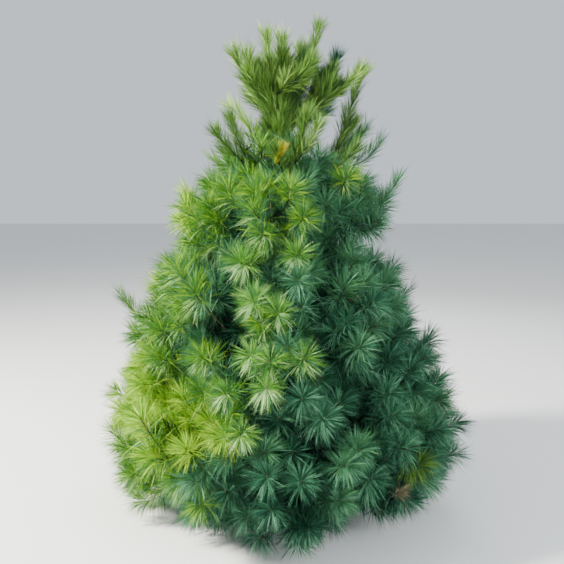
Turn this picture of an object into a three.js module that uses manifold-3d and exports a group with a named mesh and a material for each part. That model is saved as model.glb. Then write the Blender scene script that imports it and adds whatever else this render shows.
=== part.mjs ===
// A young white pine, rooted in level ground: a trunk with a root flare, whorls of boughs, and a
// mass of needles at the end of each bough. Towards the top the shoots stand on the trunk itself
// and open like a vase. Millimetres, +Z up, the front of the tree towards -Y, and the origin at
// the middle of the flat cut under the trunk.
import * as THREE from "three";
import { mergeVertices } from "three/addons/utils/BufferGeometryUtils.js";
import Module from "manifold-3d";

const wasm = await Module();
wasm.setup();

// Trunk
const trunkTop = 1975;
const trunkFootRadius = 43;
const trunkTipRadius = 7;
const trunkTaper = 0.85;
const trunkSides = 12;
const trunkRingCount = 14;
const ringCrowding = 1.6; // the trunk's rings crowd together at the flare
const flareRadius = 24;
const flareHeight = 90;
const flareLobes = 5;
const swayLeft = 40; // how far the trunk bows to the left, and the length of that bow
const swayLength = 2600;
const swayBack = 14;

// Needles: one spike stands for a bundle of them.
const needleLength = 125;
const needleDroop = 0.12;
const spikeShares = [1, 0.8, 0.6, 0.4]; // of the full length: a spike takes the first that fits
const shootRadius = 9.5;
const burstRadius = 23; // the knob under a burst of needles
const burstDepth = 0.85 * needleLength; // a burst's middle lies this far inside the crown's outline
const burstSpacing = 256;
const lowestBurst = 85;
const highestBurst = 1690;
const burstStem = 0.75; // how far a burst's stem runs in towards the middle of its heart

// Hearts: the dense middle of each mass.
const heartDepth = 1.5 * needleLength; // a heart's face lies this far inside the crown's outline
const heartInner = 0.46; // and starts this share of the reach out from the trunk
const neckInner = 0.14;
const heartTop = 1760; // the hearts are rounded off below this height on the trunk
const heartSlope = 0.55;
const heartPlace = 0.74; // where a heart's middle lies along its limb
const neckPlace = 0.45;

// Clearances
const seatGap = 0.3; // between a bough and the trunk, and between a mass and its bough
const cellGap = 3; // half of the least space between the needles of two masses
const heartGap = 17; // and between their hearts
const groundGap = 10;

// Whorls from the ground up: the first azimuth (0 is +X, 90 is the back), the height on the trunk
// and at the foliage, the reach from the trunk's middle line to the needle tips, how far the outline
// dips in below it, and the limb's radius at its foot. A whorl with onTrunk has no bough: its foliage
// stands on the trunk itself.
const whorls = [
  { name: "skirt", limbs: 5, turn: 54, height: 130, tipHeight: 215, reach: 915, dip: 0, foot: 14 },
  { name: "lower", limbs: 5, turn: 18, height: 320, tipHeight: 480, reach: 960, dip: 0, foot: 14 },
  { name: "middle", limbs: 5, turn: 50, height: 570, tipHeight: 800, reach: 840, dip: 25, foot: 13 },
  { name: "upper", limbs: 5, turn: 14, height: 860, tipHeight: 1120, reach: 730, dip: 40, foot: 10.5 },
  { name: "shoulder", limbs: 5, turn: 46, height: 1165, tipHeight: 1480, reach: 595, dip: 85, foot: 8 },
  { name: "neck", limbs: 4, turn: 8, height: 1440, tipHeight: 1880, reach: 410, dip: 75, foot: 6, onTrunk: true },
];
const limbSides = 5;
const limbTaper = 0.5;
const limbBend = { share: 0.55, lift: 0.4 }; // a limb runs out first and rises late
const boughRings = 3;
const boughEnd = 0.5; // where a bough enters its foliage, as a share of its line
const whorlStep = 13; // the limbs of a whorl leave the trunk one above another by this much
const skirtTuck = 70; // the crown draws in by this much at the ground
const neckLean = 34; // the neck's shoots stand further to the right
const neckFan = 24; // how far the neck's side shoots turn aside, in degrees

// The long shoots that open from the trunk's top like a vase. Each forks in two, and a fork ends at
// its azimuth, its distance from the middle and its height. The leader stands between them.
const vaseHeight = 1830;
const vaseShoots = [
  [{ azimuth: -14, out: 360, height: 2095 }, { azimuth: 22, out: 270, height: 2185 }],
  [{ azimuth: 40, out: 215, height: 2335 }, { azimuth: 100, out: 250, height: 2190 }],
  [{ azimuth: 176, out: 245, height: 2190 }, { azimuth: 216, out: 215, height: 2150 }],
  [{ azimuth: 232, out: 140, height: 2240 }, { azimuth: 300, out: 230, height: 2120 }],
];
const vaseBend = { share: 0.6, lift: 0.5 };
const forkShare = 0.35; // how far up its shoot a fork leaves
const leaderLength = 275;

// Brushes: shoots with needles along them from the share `first`, in a number of whorls.
const vaseBrush = { first: 0.2, whorls: 7 };
const neckBrush = { first: 0.58, whorls: 4 };
const sideBrush = { first: 0.6, whorls: 2 };
const brushRoot = 6.5;
const brushEnd = 0.95; // the last whorl of needles, as a share of the shoot
const brushSides = 3;
const whorlWidth = 1.6 * shootRadius;
const rootSpread = 52; // the angle between a shoot and its needles, at its root and at its tip
const tipSpread = 30;

const colours = { bark: 0x5d5147, bough: 0x6a5a48, lowFoliage: 0x2f5a3c, highFoliage: 0x4f7f2e };
const up = new THREE.Vector3(0, 0, 1);
const goldenAngle = Math.PI * (3 - Math.sqrt(5));
const { degToRad, lerp } = THREE.MathUtils;

// One fixed sequence of draws for each seed, so that the tree always grows the same.
class Dice {
  constructor(seed) {
    this.state = (seed * 7919 + 104729) % 2147483647;
    this.roll();
    this.roll();
  }
  roll() {
    this.state = (this.state * 48271) % 2147483647;
    return this.state / 2147483647;
  }
  between(low, high) {
    return low + (high - low) * this.roll();
  }
}

function outwards(azimuth) {
  return new THREE.Vector3(Math.cos(azimuth), Math.sin(azimuth), 0);
}

function risingHeading(azimuth, rise) {
  return outwards(azimuth).multiplyScalar(Math.cos(rise)).setZ(Math.sin(rise));
}

function levelDistance(point) {
  return Math.hypot(point.x, point.y);
}

function middleOf(points, face) {
  return face.reduce((sum, i) => sum.add(points[i]), new THREE.Vector3()).divideScalar(3);
}

function trunkCentre(z) {
  const bow = Math.sin((Math.PI * z) / swayLength);
  return new THREE.Vector3(-swayLeft * bow, swayBack * bow, z);
}

function trunkRadius(z, azimuth) {
  const taper = lerp(trunkFootRadius, trunkTipRadius, Math.pow(z / trunkTop, trunkTaper));
  const lobe = 0.65 + 0.35 * Math.cos(flareLobes * azimuth + 0.6);
  return taper + flareRadius * lobe * Math.exp(-z / flareHeight);
}

function meshGeometry(points, faces) {
  const places = points.flatMap((point) => point.toArray());
  const geometry = new THREE.BufferGeometry();
  geometry.setAttribute("position", new THREE.Float32BufferAttribute(places, 3));
  geometry.setIndex(faces.flat());
  return geometry;
}

// A closed tube through rings of points that all have the same count, turning the same way.
function tubeGeometry(rings) {
  const sides = rings[0].length;
  const points = rings.flat();
  const faces = [];
  for (let r = 0; r + 1 < rings.length; r++)
    for (let s = 0; s < sides; s++) {
      const a = r * sides + s;
      const b = r * sides + ((s + 1) % sides);
      faces.push([a, b, b + sides], [a, b + sides, a + sides]);
    }
  const last = points.length - sides;
  for (let s = 1; s + 1 < sides; s++) faces.push([0, s + 1, s], [last, last + s, last + s + 1]);
  return meshGeometry(points, faces);
}

// Two directions square to an axis, the first as level as it can be.
function crossFrame(axis) {
  const level = new THREE.Vector3().crossVectors(up, axis);
  if (level.lengthSq() < 1e-6) level.set(1, 0, 0);
  level.normalize();
  return [level, new THREE.Vector3().crossVectors(axis, level).normalize()];
}

function ringOn(line, t, radius, sides, twist = 0) {
  const [level, steep] = crossFrame(line.getTangent(t));
  return Array.from({ length: sides }, (_, s) => {
    const angle = twist + (2 * Math.PI * s) / sides;
    const aside = level.clone().multiplyScalar(radius * Math.cos(angle));
    return line.getPoint(t).add(aside).addScaledVector(steep, radius * Math.sin(angle));
  });
}

function trunkGeometry(clearance = 0) {
  const rings = Array.from({ length: trunkRingCount }, (_, r) => {
    const z = trunkTop * Math.pow(r / (trunkRingCount - 1), ringCrowding);
    const centre = trunkCentre(z);
    return Array.from({ length: trunkSides }, (_, s) => {
      const azimuth = (2 * Math.PI * s) / trunkSides;
      return centre.clone().addScaledVector(outwards(azimuth), trunkRadius(z, azimuth) + clearance);
    });
  });
  return tubeGeometry(rings);
}

// Turns a closed geometry into a solid that can be joined and cut, and back.
function solid(geometry) {
  return new wasm.Manifold(
    new wasm.Mesh({
      numProp: 3,
      vertProperties: new Float32Array(geometry.getAttribute("position").array),
      triVerts: new Uint32Array(geometry.index.array),
    }),
  );
}

function geometryOf(body) {
  const mesh = body.getMesh();
  const geometry = new THREE.BufferGeometry();
  geometry.setAttribute("position", new THREE.Float32BufferAttribute(mesh.vertProperties, 3));
  geometry.setIndex(new THREE.Uint32BufferAttribute(mesh.triVerts, 1));
  return geometry;
}

// The largest of the pieces, without the loose scraps.
function mainPiece(body) {
  return body.decompose().reduce((best, piece) => (piece.volume() > best.volume() ? piece : best));
}

// The crown's outline: the reach of the foliage at a height, drawn in towards the ground.
function crownReach(z) {
  const above = Math.max(1, whorls.findIndex((whorl) => whorl.tipHeight > z));
  const [low, high] = z > whorls.at(-1).tipHeight ? whorls.slice(-2) : [whorls[above - 1], whorls[above]];
  const share = (z - low.tipHeight) / (high.tipHeight - low.tipHeight);
  const inwards = share > 0 && share < 1 ? high.dip * Math.sin(Math.PI * share) : 0;
  const reach = lerp(low.reach, high.reach, share) - inwards;
  const tuck = z < whorls[0].tipHeight ? skirtTuck * Math.pow(1 - z / whorls[0].tipHeight, 2) : 0;
  return Math.max(0, reach) - tuck;
}

function bentLine(foot, tip, { share, lift }) {
  const bend = foot.clone().lerp(tip, share).setZ(lerp(foot.z, tip.z, lift));
  return new THREE.QuadraticBezierCurve3(foot, bend, tip);
}

// A plan is what one limb and its foliage grow from: the limb's line and its forks, and the bursts
// of needles that are dealt to it.
function limbPlans() {
  return whorls.flatMap((whorl, level) =>
    Array.from({ length: whorl.limbs }, (_, k) => {
      const dice = new Dice(101 + level * 20 + k);
      const azimuth = degToRad(whorl.turn + (360 / whorl.limbs) * k + dice.between(-6, 6));
      const foot = trunkCentre(whorl.height + whorlStep * ((2 * k) % whorl.limbs));
      const tip = outwards(azimuth).multiplyScalar(whorl.reach - burstDepth);
      tip.z = whorl.tipHeight + dice.between(-25, 25);
      if (whorl.onTrunk) tip.x += neckLean;
      const line = bentLine(foot, tip, limbBend);
      return { ...whorl, id: `${whorl.name}_${k + 1}`, azimuth, line, forks: [line], bursts: [], dice };
    }),
  );
}

function vasePlans() {
  return vaseShoots.map((ends, k) => {
    const tips = ends.map((end) => outwards(degToRad(end.azimuth)).multiplyScalar(end.out).setZ(end.height));
    const line = bentLine(trunkCentre(vaseHeight + whorlStep * k), tips[0], vaseBend);
    const forks = [line, bentLine(line.getPoint(forkShare), tips[1], vaseBend)];
    return { id: `vase_${k + 1}`, line, forks, dice: new Dice(301 + k) };
  });
}

function leaderPlan() {
  const foot = trunkCentre(trunkTop + seatGap);
  const line = bentLine(foot, trunkCentre(trunkTop + leaderLength), vaseBend);
  return { id: "leader", line, forks: [line], dice: new Dice(401) };
}

const plans = [...limbPlans(), ...vasePlans(), leaderPlan()];
const siteShares = [0.12, 0.4, 0.7, 1];
for (const plan of plans) plan.sites = plan.forks.map((fork) => siteShares.map((t) => fork.getPoint(t)));

function distanceToLimb(point, plan) {
  const leg = new THREE.Line3();
  const near = new THREE.Vector3();
  let least = Infinity;
  for (const site of plan.sites)
    for (let i = 0; i + 1 < site.length; i++) {
      leg.set(site[i], site[i + 1]).closestPointToPoint(point, true, near);
      least = Math.min(least, near.distanceTo(point));
    }
  return least;
}

// A mass owns the space that is nearer to its own limb than to any other, above the ground and
// clear of the trunk.
function inOwnSpace(plan, point, margin) {
  if (point.z < groundGap + margin) return false;
  if (point.z < trunkTop + margin) {
    const offset = point.clone().sub(trunkCentre(point.z));
    const radius = trunkRadius(point.z, Math.atan2(offset.y, offset.x));
    if (levelDistance(offset) < radius + margin) return false;
  }
  const own = distanceToLimb(point, plan);
  return plans.every((other) => other === plan || distanceToLimb(point, other) - own > 2 * margin);
}

function clearRun(plan, from, to) {
  return [0.25, 0.5, 0.75, 1].every((share) => inOwnSpace(plan, from.clone().lerp(to, share), cellGap));
}

// Bursts of needles spread evenly over the crown by a golden-angle spiral from the skirt to the
// neck, each dealt to the limb that is nearest. A limb's own tip has the first one.
function dealBursts() {
  const limbs = plans.filter((plan) => plan.bursts);
  for (const plan of limbs) plan.bursts.push(plan.line.getPoint(1));
  let z = lowestBurst;
  for (let i = 0; z < highestBurst; i++) {
    const distance = crownReach(z) - burstDepth;
    const burst = outwards(i * goldenAngle).multiplyScalar(distance).setZ(z);
    const distances = limbs.map((plan) => distanceToLimb(burst, plan));
    const nearest = limbs[distances.indexOf(Math.min(...distances))];
    if (burst.distanceTo(nearest.line.getPoint(1)) > 0.7 * burstSpacing) nearest.bursts.push(burst);
    z += (burstSpacing * burstSpacing) / (2 * Math.PI * distance);
  }
}

// The bursts of a mass, each where it was dealt, or drawn in a little from the next mass.
function burstSeats(plan, centre) {
  return plan.bursts
    .map((burst) => [0, 0.08, 0.16].map((share) => burst.clone().lerp(centre, share)))
    .map((places) => places.find((place) => inOwnSpace(plan, place, burstRadius)))
    .filter((seat) => seat);
}

function ball(detail) {
  const bare = new THREE.IcosahedronGeometry(1, detail).deleteAttribute("normal").deleteAttribute("uv");
  const whole = mergeVertices(bare);
  const position = whole.getAttribute("position");
  const pointAt = (_, i) => new THREE.Vector3().fromBufferAttribute(position, i);
  const index = Array.from(whole.index.array);
  return {
    points: Array.from({ length: position.count }, pointAt),
    faces: Array.from({ length: index.length / 3 }, (_, f) => index.slice(3 * f, 3 * f + 3)),
  };
}

function pushCone(points, faces, [a, b, c], tip) {
  const end = points.push(tip) - 1;
  faces.push([a, b, end], [b, c, end], [c, a, end]);
}

// Runs a face of a mesh out into one spike. A spike that would leave the mass's own space is
// shortened, or its face is left flat.
function addSpike(plan, points, faces, face, { heading, length, droop = needleDroop, allowed = () => true }) {
  const middle = middleOf(points, face);
  const sagged = heading.clone().setZ(heading.z - droop * plan.dice.between(0.6, 1.2)).normalize();
  const tip = spikeShares
    .map((share) => middle.clone().addScaledVector(sagged, share * length * plan.dice.between(0.86, 1.04)))
    .find((end) => clearRun(plan, middle, end) && allowed(end));
  if (tip) pushCone(points, faces, face, tip);
  else faces.push(face);
}

// A burst: a small knob whose faces run out into needles. The face towards the heart runs in as
// its stem, and those round that one stay flat.
function burstSolid(plan, middle, centre) {
  const { points, faces: knobFaces } = ball(0);
  const root = middle.clone().lerp(centre, burstStem);
  const inwards = root.clone().sub(middle).normalize();
  const stemFace = middleOf(points, knobFaces[0]).normalize();
  const turned = new THREE.Quaternion().setFromUnitVectors(stemFace, inwards);
  for (const point of points) point.applyQuaternion(turned).multiplyScalar(burstRadius).add(middle);
  const faces = [];
  knobFaces.forEach((face, i) => {
    const heading = middleOf(points, face).sub(middle).normalize();
    if (i === 0) pushCone(points, faces, face, root);
    else if (heading.dot(inwards) > 0.45) faces.push(face);
    else addSpike(plan, points, faces, face, { heading, length: needleLength - 0.6 * burstRadius });
  });
  return solid(meshGeometry(points, faces));
}

// A brush: a three-sided shoot, bare from its root, then with whorls of needles and a tuft on its
// tip. Each small face of a whorl runs out into one spike.
function brushSolid(plan, line, { first, whorls: count }) {
  const whorlPlaces = Array.from({ length: count }, (_, w) => lerp(first, brushEnd, w / (count - 1)));
  const rings = [ringOn(line, 0, brushRoot, brushSides)];
  for (const place of whorlPlaces)
    for (const step of [0, whorlWidth]) {
      const t = Math.min(1, place + step / line.getLength());
      rings.push(ringOn(line, t, shootRadius, brushSides, (rings.length * Math.PI) / brushSides));
    }
  const points = rings.flat();
  const faces = [[0, 2, 1]];
  const tip = line.getPoint(1).addScaledVector(line.getTangent(1), 1.2 * shootRadius);
  const knob = points.push(tip) - 1;
  const needle = (face, t, angle) => {
    const axis = line.getTangent(t);
    const out = middleOf(points, face).sub(line.getPoint(t));
    out.addScaledVector(axis, -out.dot(axis)).normalize();
    const heading = out.multiplyScalar(Math.sin(angle)).addScaledVector(axis, Math.cos(angle));
    addSpike(plan, points, faces, face, { heading, length: needleLength });
  };
  for (let r = 0; r + 1 < rings.length; r++)
    for (let s = 0; s < brushSides; s++) {
      const next = (s + 1) % brushSides;
      const low = r * brushSides;
      const high = low + brushSides;
      const pair = [
        [low + s, low + next, high + s],
        [low + next, high + next, high + s],
      ];
      const t = whorlPlaces[(r - 1) / 2];
      for (const face of pair)
        if (t === undefined) faces.push(face);
        else needle(face, t, degToRad(lerp(rootSpread, tipSpread, t) + plan.dice.between(-5, 5)));
    }
  const last = (rings.length - 1) * brushSides;
  for (let s = 0; s < brushSides; s++)
    needle([last + s, last + ((s + 1) % brushSides), knob], 1, degToRad(0.5 * tipSpread));
  return solid(meshGeometry(points, faces));
}

function limbRadius(plan, t) {
  return plan.foot * lerp(1, limbTaper, t / boughEnd);
}

function boughGeometry(plan, clearance = 0) {
  const rings = Array.from({ length: boughRings }, (_, r) => {
    const t = (boughEnd * r) / (boughRings - 1);
    return ringOn(plan.line, t, limbRadius(plan, t) + clearance, limbSides);
  });
  return tubeGeometry(rings);
}

// The woody stem inside a mass, from just clear of the bough's tip to the last burst.
function stemSolid(plan) {
  const first = boughEnd + seatGap / plan.line.getLength();
  const rings = [0, 0.5, 1].map((share) => {
    const radius = lerp(limbRadius(plan, first), shootRadius, share);
    return ringOn(plan.line, lerp(first, 1, share), radius, limbSides);
  });
  return solid(tubeGeometry(rings));
}

// The dense heart of a mass: a ball run out on every side until it nears the crown's outline, the
// next mass, the trunk or the ground. Its outer faces run out further into points, except beside
// the bursts and brushes that stand there already.
function heartSolid(plan, centre, taken) {
  const inner = plan.onTrunk ? neckInner : heartInner;
  const inside = (point) =>
    levelDistance(point) < crownReach(point.z) - heartDepth &&
    levelDistance(point) > inner * crownReach(point.z) &&
    point.z < heartTop - heartSlope * levelDistance(point) &&
    inOwnSpace(plan, point, heartGap);
  const { points: headings, faces: ballFaces } = ball(1);
  const points = headings.map((heading) => {
    let [near, far] = [0, 0.6 * plan.reach];
    for (let halving = 0; halving < 8; halving++) {
      const middle = (near + far) / 2;
      if (inside(centre.clone().addScaledVector(heading, middle))) near = middle;
      else far = middle;
    }
    return centre.clone().addScaledVector(heading, near * plan.dice.between(0.9, 1));
  });
  const allowed = (end) =>
    levelDistance(end) < crownReach(end.z) - 0.2 * needleLength &&
    taken.every((place) => place.distanceTo(end) > 0.85 * needleLength);
  const faces = [];
  for (const face of ballFaces) {
    const middle = middleOf(points, face);
    const heading = middle.clone().sub(centre).normalize();
    const [a, b, c] = face.map((i) => points[i]);
    const normal = b.clone().sub(a).cross(c.clone().sub(a));
    const outer = normal.dot(outwards(Math.atan2(middle.y, middle.x))) > 0;
    if (outer) addSpike(plan, points, faces, face, { heading, length: needleLength, droop: 0, allowed });
    else faces.push(face);
  }
  return solid(meshGeometry(points, faces));
}

// The foliage at a bough's end: the heart, the stem, and the bursts that stand out of them.
function boughFoliage(plan) {
  const centre = plan.line.getPoint(heartPlace);
  const seats = burstSeats(plan, centre);
  const pieces = [heartSolid(plan, centre, seats), stemSolid(plan)];
  for (const seat of seats) pieces.push(burstSolid(plan, seat, centre));
  return wasm.Manifold.union(pieces).subtract(solid(boughGeometry(plan, seatGap)));
}

// The neck's foliage: a heart on the trunk, with bursts, and brushes that rise from it.
function neckFoliage(plan) {
  const centre = plan.line.getPoint(neckPlace);
  const lines = [plan.line];
  for (const [side, t] of [[-1, 0.35], [1, 0.55]]) {
    const root = plan.line.getPoint(t);
    const azimuth = plan.azimuth + degToRad(neckFan * side);
    const heading = risingHeading(azimuth, degToRad(plan.dice.between(26, 40)));
    const length = plan.dice.between(0.44, 0.54) * plan.line.getLength();
    const end = root.clone().addScaledVector(heading, length);
    if (clearRun(plan, root, end)) lines.push(bentLine(root, end, limbBend));
  }
  const brushes = lines.map((line, i) => brushSolid(plan, line, i ? sideBrush : neckBrush));
  const taken = lines.flatMap((line) => [0.5, 0.75, 1].map((t) => line.getPoint(t)));
  const clearOfBrushes = (seat) => taken.every((place) => place.distanceTo(seat) > needleLength);
  const seats = burstSeats(plan, centre).filter(clearOfBrushes);
  const bursts = seats.map((seat) => burstSolid(plan, seat, centre));
  return wasm.Manifold.union([...brushes, ...bursts, heartSolid(plan, centre, [...taken, ...seats])]);
}

// A shoot of the vase, or the leader: a brush along each fork.
function vaseFoliage(plan) {
  return wasm.Manifold.union(plan.forks.map((fork) => brushSolid(plan, fork, vaseBrush)));
}

function growFoliage(plan) {
  if (!plan.bursts) return vaseFoliage(plan);
  return plan.onTrunk ? neckFoliage(plan) : boughFoliage(plan);
}

function foliageColour(plan) {
  const height = Math.min(1, plan.line.getPoint(1).z / trunkTop);
  return new THREE.Color(colours.lowFoliage).lerp(new THREE.Color(colours.highFoliage), height);
}

function named(name, geometry, color, roughness) {
  geometry.computeVertexNormals();
  const material = new THREE.MeshStandardMaterial({ color, roughness, metalness: 0 });
  const mesh = new THREE.Mesh(geometry, material);
  mesh.name = name;
  return mesh;
}

dealBursts();
const trunkSpace = solid(trunkGeometry(seatGap));
const tree = new THREE.Group();
tree.add(named("trunk", trunkGeometry(), colours.bark, 0.9));
for (const plan of plans) {
  if (plan.bursts && !plan.onTrunk) {
    const bough = mainPiece(solid(boughGeometry(plan)).subtract(trunkSpace));
    tree.add(named(`${plan.id}_bough`, geometryOf(bough), colours.bough, 0.85));
  }
  const foliage = mainPiece(growFoliage(plan).subtract(trunkSpace));
  tree.add(named(`${plan.id}_foliage`, geometryOf(foliage), foliageColour(plan), 0.8));
}
export default tree;
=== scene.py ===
import math

import bpy
import numpy as np
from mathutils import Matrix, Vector


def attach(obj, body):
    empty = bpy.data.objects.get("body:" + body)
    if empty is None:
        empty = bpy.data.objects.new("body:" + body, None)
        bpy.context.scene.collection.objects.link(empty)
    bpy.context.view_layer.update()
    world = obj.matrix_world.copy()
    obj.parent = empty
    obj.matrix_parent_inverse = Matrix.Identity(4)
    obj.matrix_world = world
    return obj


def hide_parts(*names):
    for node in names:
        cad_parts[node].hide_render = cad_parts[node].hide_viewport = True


# A young white pine: bark-covered trunk and boughs, twigs, buds and needles, grown round the frame.
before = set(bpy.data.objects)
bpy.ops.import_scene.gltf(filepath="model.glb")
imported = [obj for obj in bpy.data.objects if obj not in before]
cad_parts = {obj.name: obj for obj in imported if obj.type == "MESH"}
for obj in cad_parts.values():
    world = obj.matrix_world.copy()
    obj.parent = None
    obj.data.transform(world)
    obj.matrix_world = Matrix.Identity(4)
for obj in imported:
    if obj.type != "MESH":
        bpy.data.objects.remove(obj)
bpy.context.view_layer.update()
print("frame loaded,", len(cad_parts), "nodes")

# The plan of the tree, the same as its solids have: metres, +Z up, the front towards -Y.
trunkPlan = {
    "top": 1.975,
    "footRadius": 0.043,
    "tipRadius": 0.007,
    "taper": 0.85,
    "flareRadius": 0.024,
    "flareHeight": 0.09,
    "flareLobes": 5,
    "flareTurn": 0.6,
    "flareDepth": 0.35,  # how far the flare draws in between its lobes
    "swayLeft": 0.04,
    "swayBack": 0.014,
    "swayLength": 2.6,
    "collar": 0.16,  # how far the trunk swells where a whorl of boughs leaves it
    "collarRise": 0.026,
    "collarHeight": 0.028,
}
crownPlan = {
    "depth": 0.106,  # a limb's tip lies this far inside the crown's outline
    "tuck": 0.07,  # how far the outline draws in at the ground
    "whorlStep": 0.013,
    "notch": 0.120,  # how far the outline draws in between the masses of two limbs
    "notchNear": 0.13,
    "notchFar": 0.36,
    "seed": 101,
    "swing": 6,  # degrees that a limb may stand off its place in the whorl
    "tipSway": 0.025,
}
# Each whorl: its limbs, first azimuth, height on the trunk and at the tips, reach, how far the
# outline dips in below it, and the limb's radius at its foot.
whorlKeys = ("name", "limbs", "turn", "height", "tipHeight", "reach", "dip", "foot")
whorls = [dict(zip(whorlKeys, row)) for row in [
    ("skirt", 5, 54, 0.130, 0.215, 0.915, 0, 0.014),
    ("lower", 5, 18, 0.320, 0.480, 0.960, 0, 0.014),
    ("middle", 5, 50, 0.570, 0.800, 0.840, 0.025, 0.013),
    ("upper", 5, 14, 0.860, 1.120, 0.730, 0.040, 0.0105),
    ("shoulder", 5, 46, 1.165, 1.480, 0.595, 0.085, 0.008),
    ("neck", 4, 8, 1.440, 1.880, 0.410, 0.075, 0.006),
]]
neckPlan = {
    "lean": 0.034,
    "fan": 24,
    "sides": [(-1, 0.35), (1, 0.55)],  # to which side each of the two turns, and where it leaves its limb
    "rise": (26, 40),
    "length": (0.44, 0.54),
}
vasePlan = {
    "height": 1.830,
    "fork": 0.35,
    "leader": 0.275,
    "shoots": [  # azimuth, distance from the middle and height of the two tips of each shoot
        [(-14, 0.360, 2.095), (22, 0.270, 2.185)],
        [(40, 0.215, 2.335), (100, 0.250, 2.190)],
        [(176, 0.245, 2.190), (216, 0.215, 2.150)],
        [(232, 0.140, 2.240), (300, 0.230, 2.120)],
    ],
}
limbBend = (0.55, 0.4)  # where along a limb it bends, and how far up its rise
vaseBend = (0.6, 0.5)
goldenAngle = math.pi * (3 - math.sqrt(5))
up = np.array([0.0, 0.0, 1.0])


diceRule = {"apart": 7919, "start": 104729, "step": 48271, "range": 2147483647}


class Dice:  # one fixed sequence of draws for each seed, as the solids use
    def __init__(self, seed):
        self.state = (seed * diceRule["apart"] + diceRule["start"]) % diceRule["range"]
        self.roll()
        self.roll()

    def roll(self):
        self.state = self.state * diceRule["step"] % diceRule["range"]
        return self.state / diceRule["range"]

    def between(self, low, high):
        return low + (high - low) * self.roll()


def mix(a, b, share):
    return a + (b - a) * share


def smooth(value, low, high):
    share = min(1, max(0, (value - low) / (high - low)))
    return share * share * (3 - 2 * share)


def unit(vectors):
    return vectors / np.maximum(np.linalg.norm(vectors, axis=-1, keepdims=True), 1e-9)


def outwards(azimuth):
    return np.array([math.cos(azimuth), math.sin(azimuth), 0.0])


def risingHeading(azimuth, rise):
    return outwards(azimuth) * math.cos(rise) + up * math.sin(rise)


def trunkCentre(z):
    bow = math.sin(math.pi * z / trunkPlan["swayLength"])
    return np.array([-trunkPlan["swayLeft"] * bow, trunkPlan["swayBack"] * bow, z])


def trunkRadius(z, azimuth):
    height = min(1, max(0, z / trunkPlan["top"])) ** trunkPlan["taper"]
    taper = mix(trunkPlan["footRadius"], trunkPlan["tipRadius"], height)
    offsets = [z - whorl["height"] - trunkPlan["collarRise"] for whorl in whorls]
    swells = [math.exp(-(offset / trunkPlan["collarHeight"]) ** 2) for offset in offsets]
    collar = trunkPlan["collar"] * sum(swells)
    wave = math.cos(trunkPlan["flareLobes"] * azimuth + trunkPlan["flareTurn"])
    lobe = 1 - trunkPlan["flareDepth"] + trunkPlan["flareDepth"] * wave
    flare = trunkPlan["flareRadius"] * lobe * math.exp(-z / trunkPlan["flareHeight"])
    return taper * (1 + collar) + flare


def crownReach(z):
    higher = (i for i, whorl in enumerate(whorls) if whorl["tipHeight"] > z)
    above = max(1, next(higher, len(whorls) - 1))
    low, high = whorls[above - 1], whorls[above]
    share = (z - low["tipHeight"]) / (high["tipHeight"] - low["tipHeight"])
    inwards = high["dip"] * math.sin(math.pi * share) if 0 < share < 1 else 0
    reach = mix(low["reach"], high["reach"], share) - inwards
    return max(0, reach) - crownPlan["tuck"] * max(0, 1 - z / whorls[0]["tipHeight"]) ** 2


def bentLine(foot, tip, bend):
    share, lift = bend
    middle = mix(foot, tip, share)
    middle[2] = mix(foot[2], tip[2], lift)
    return np.array([foot, middle, tip])


def lineAt(line, t):
    t = np.asarray(t, float)[..., None]
    return (1 - t) ** 2 * line[0] + 2 * t * (1 - t) * line[1] + t ** 2 * line[2]


def headingAt(line, t):
    t = np.asarray(t, float)[..., None]
    return unit((1 - t) * (line[1] - line[0]) + t * (line[2] - line[1]))


def lineLength(line):
    steps = np.diff(lineAt(line, np.linspace(0, 1, 9)), axis=0)
    return float(np.linalg.norm(steps, axis=1).sum())


def planLimbs():
    limbs = []
    for level, whorl in enumerate(whorls):
        for k in range(whorl["limbs"]):
            dice = Dice(crownPlan["seed"] + level * 20 + k)
            swing = dice.between(-crownPlan["swing"], crownPlan["swing"])
            azimuth = math.radians(whorl["turn"] + 360 / whorl["limbs"] * k + swing)
            foot = trunkCentre(whorl["height"] + crownPlan["whorlStep"] * (2 * k % whorl["limbs"]))
            tip = outwards(azimuth) * (whorl["reach"] - crownPlan["depth"])
            tip[2] = whorl["tipHeight"] + dice.between(-crownPlan["tipSway"], crownPlan["tipSway"])
            if whorl["name"] == "neck":
                tip[0] += neckPlan["lean"]
            line = bentLine(foot, tip, limbBend)
            limbs.append({**whorl, "azimuth": azimuth, "line": line, "dice": dice})
    return limbs


# The neck's shoots: one along each limb, and two that turn aside from it.
def planNeck(limb):
    lines = [limb["line"]]
    for side, share in neckPlan["sides"]:
        root = lineAt(limb["line"], share)
        azimuth = limb["azimuth"] + math.radians(neckPlan["fan"] * side)
        heading = risingHeading(azimuth, math.radians(limb["dice"].between(*neckPlan["rise"])))
        length = limb["dice"].between(*neckPlan["length"]) * lineLength(limb["line"])
        lines.append(bentLine(root, root + heading * length, limbBend))
    return lines


def planVase():
    lines = []
    for k, ends in enumerate(vasePlan["shoots"]):
        tips = [outwards(math.radians(azimuth)) * out + up * height for azimuth, out, height in ends]
        first = bentLine(trunkCentre(vasePlan["height"] + crownPlan["whorlStep"] * k), tips[0], vaseBend)
        lines += [first, bentLine(lineAt(first, vasePlan["fork"]), tips[1], vaseBend)]
    foot = trunkCentre(trunkPlan["top"])
    return lines + [bentLine(foot, trunkCentre(trunkPlan["top"] + vasePlan["leader"]), vaseBend)]


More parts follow.
